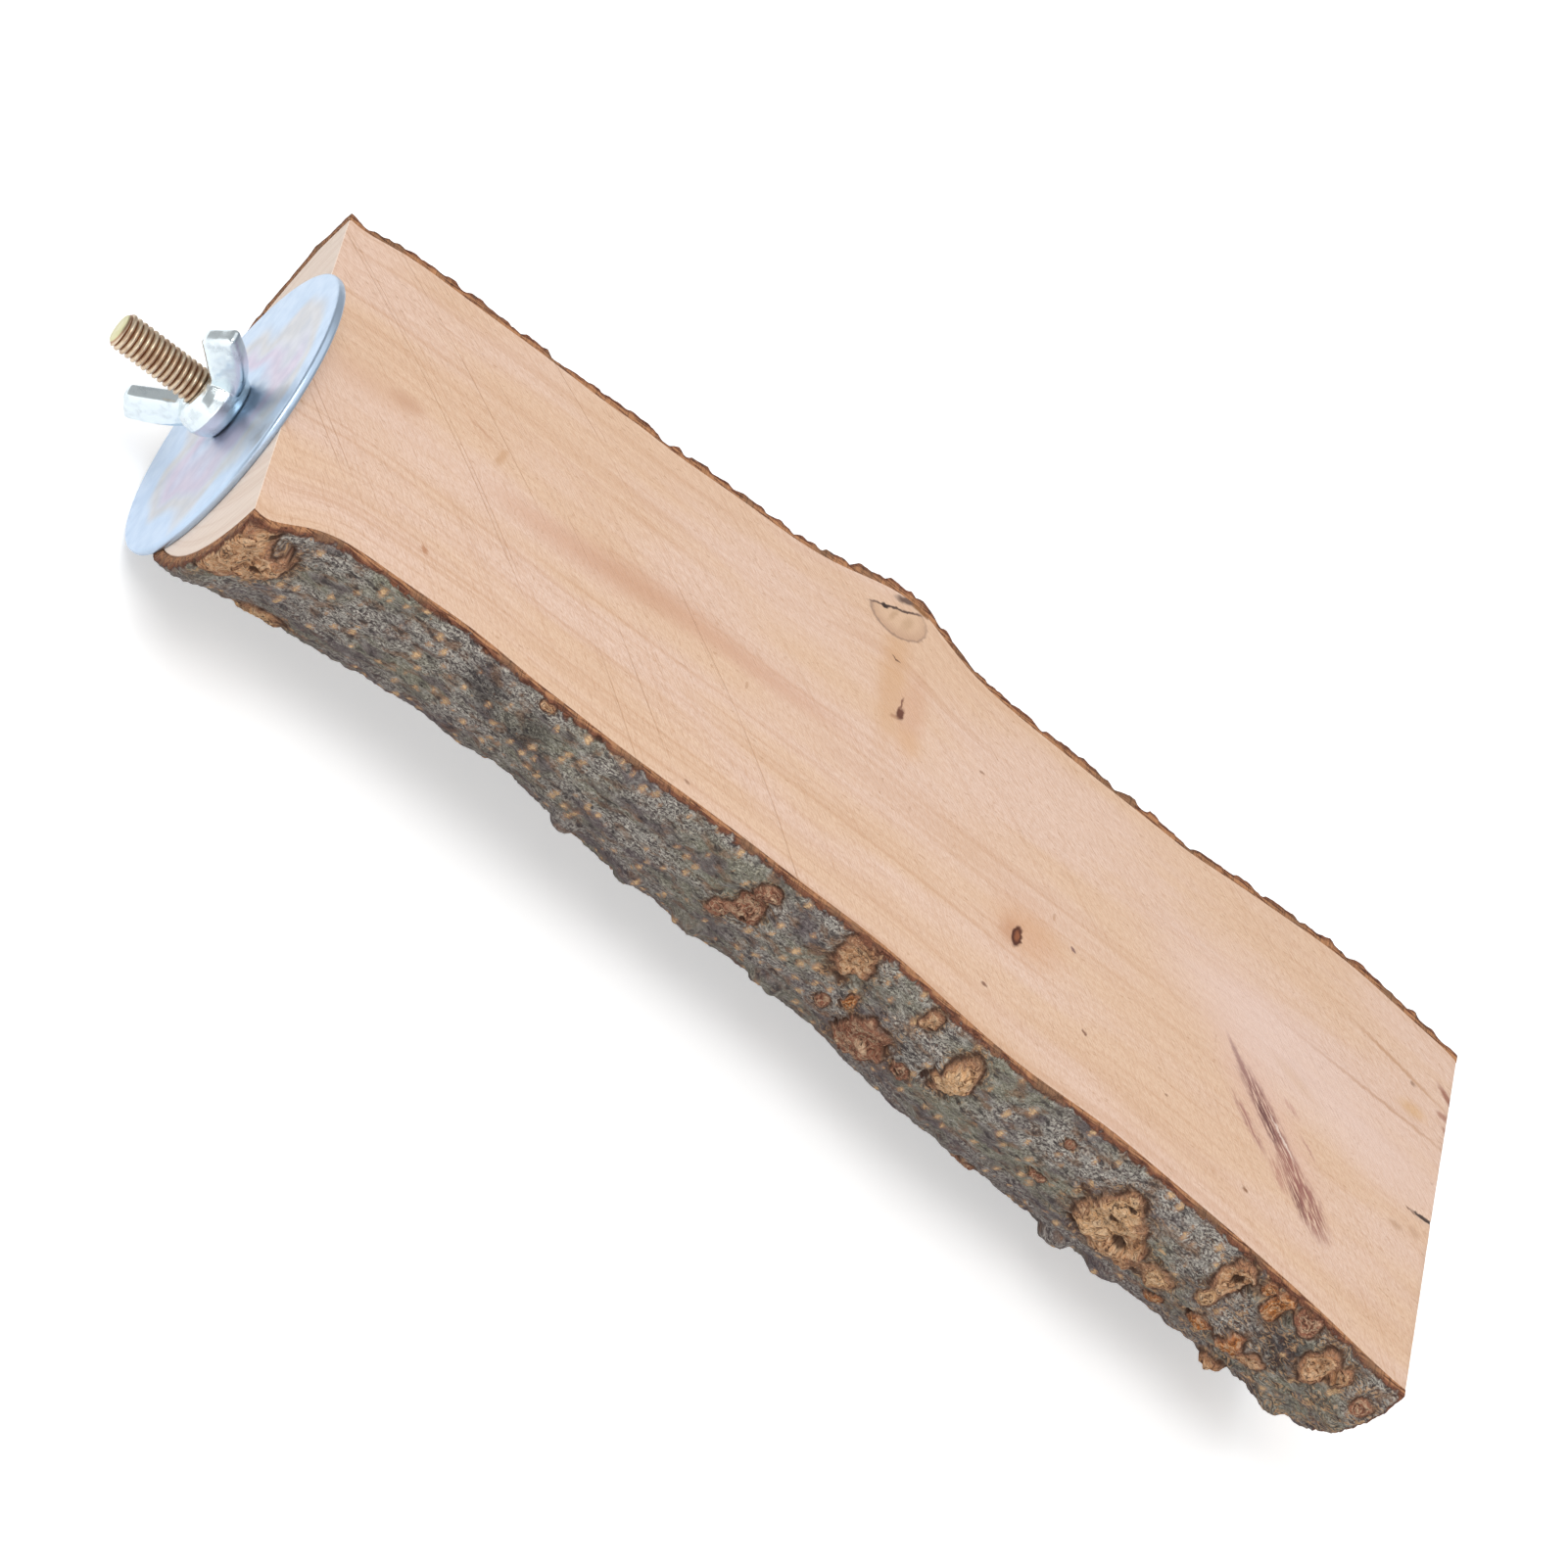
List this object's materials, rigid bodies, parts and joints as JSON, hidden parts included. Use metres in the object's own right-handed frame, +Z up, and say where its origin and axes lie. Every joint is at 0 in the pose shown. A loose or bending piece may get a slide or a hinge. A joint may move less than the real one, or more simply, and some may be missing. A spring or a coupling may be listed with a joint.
{
  "type": "bird perch",
  "caption": "Half-log bird perch with its bark on and a flat sawn top, held by a threaded stud, wide washer and wing nut that clamp its end to cage bars.",
  "frame": {"origin": "on the bolt's axis, in the plane of the sawn end that meets the cage wall", "axes": "+X along the slab away from the cage wall, +Z up out of the flat perching face, +Y to the back edge"},
  "size_m": [0.2423, 0.0907, 0.05],
  "materials": {
    "sawn_wood": "raw, band-sawn, unsanded",
    "tree_bark": "grey-green bark with tan pores and branch scars",
    "yellow_zinc": "yellow-passivated zinc on steel",
    "clear_zinc": "blue-white zinc on stamped steel",
    "cast_zinc": "bright zinc on forged steel"
  },
  "bodies": {
    "perch": {"wood_slab": "sawn_wood", "bark": "tree_bark", "hanger_bolt": "yellow_zinc"},
    "washer": {"washer": "clear_zinc"},
    "wing_nut": {"wing_nut": "cast_zinc"}
  },
  "joints": [
    {"name": "washer_slide", "type": "slide", "parent": "perch", "child": "washer", "axis": [-1, 0, 0], "range_m": [0, 0.02325]},
    {"name": "nut_turn", "type": "hinge", "parent": "washer", "child": "wing_nut", "pos_m": [-0.0015, 0, 0], "axis": [-1, 0, 0], "range_deg": [0, 8400]}
  ],
  "couplings": [
    {"joint": "nut_turn", "follows": "washer_slide", "rad_per_m": 6283.2}
  ]
}
